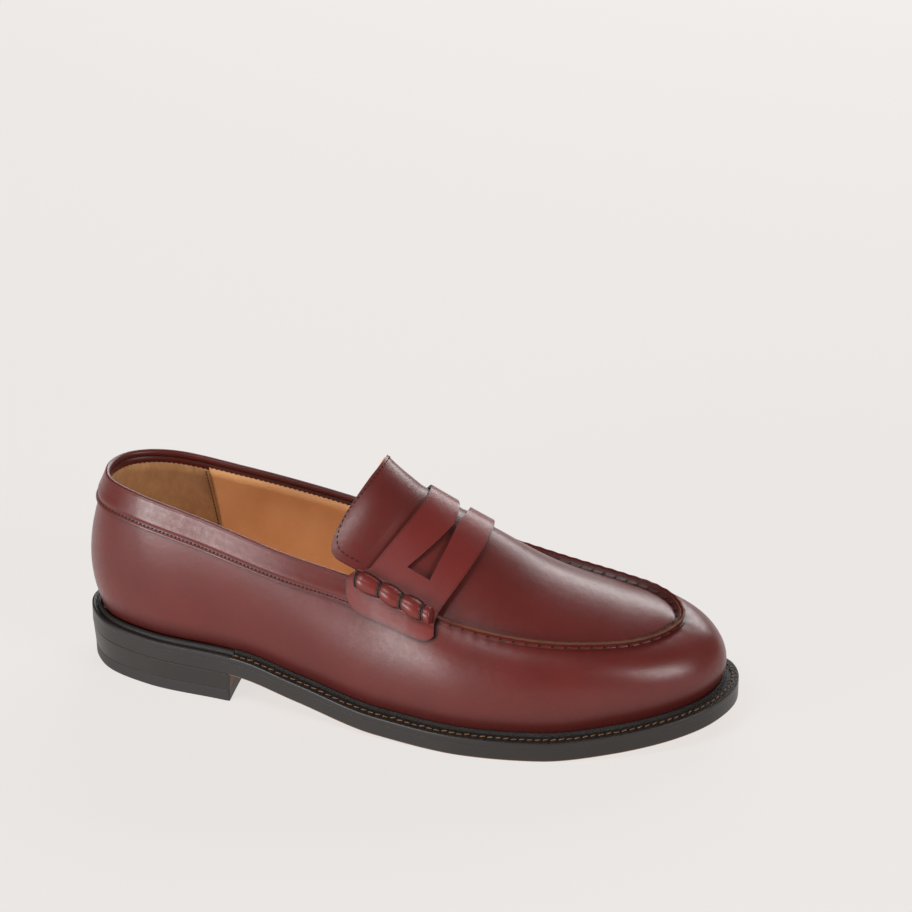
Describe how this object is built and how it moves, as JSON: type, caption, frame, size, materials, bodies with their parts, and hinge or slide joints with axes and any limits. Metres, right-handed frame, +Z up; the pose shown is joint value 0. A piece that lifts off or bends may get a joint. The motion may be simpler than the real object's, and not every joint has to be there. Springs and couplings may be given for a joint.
{
  "type": "penny loafer",
  "caption": "Right-foot leather slip-on shoe with an apron toe, a slotted saddle strap between beef rolls, a welted leather sole and a stacked heel.",
  "frame": {"origin": "on the ground under the middle of the shoe's bounding box", "axes": "+X from the heel to the toe, +Y to the inner (big toe) side of the foot, +Z up"},
  "size_m": [0.297, 0.1066, 0.108],
  "materials": {
    "burgundy_leather": "smooth polished calf, oxblood",
    "strap_leather": "smooth polished calf, oxblood, a little redder",
    "tan_leather": "smooth vegetable-tanned lining leather",
    "suede": "khaki suede with a short nap",
    "edge_leather": "sole leather, edge inked black",
    "welt_leather": "black welt leather, wheeled between the stitches",
    "heel_rubber": "hard black heel rubber",
    "leather_board": "stiff leather board",
    "canvas": "stiffened canvas rib",
    "cork": "ground cork and resin",
    "spring_steel": "hardened steel strip"
  },
  "bodies": {
    "root": {"outsole": "edge_leather", "heel_top_piece": "heel_rubber", "heel_lift_1": "edge_leather", "heel_lift_2": "edge_leather", "heel_lift_3": "edge_leather", "welt": "welt_leather", "heel_rand": "welt_leather", "insole": "tan_leather", "insole_rib": "canvas", "cork_filler": "cork", "shank": "spring_steel", "sock_lining": "tan_leather", "vamp": "burgundy_leather", "collar_band": "burgundy_leather", "topline_fold": "burgundy_leather", "apron_and_tongue": "burgundy_leather", "saddle_strap": "strap_leather", "beef_roll_lateral": "strap_leather", "beef_roll_medial": "strap_leather", "heel_counter": "leather_board", "toe_puff": "leather_board", "heel_grip": "suede", "quarter_lining_lateral": "tan_leather", "quarter_lining_medial": "tan_leather", "vamp_lining": "tan_leather", "tongue_lining": "tan_leather"}
  },
  "joints": []
}
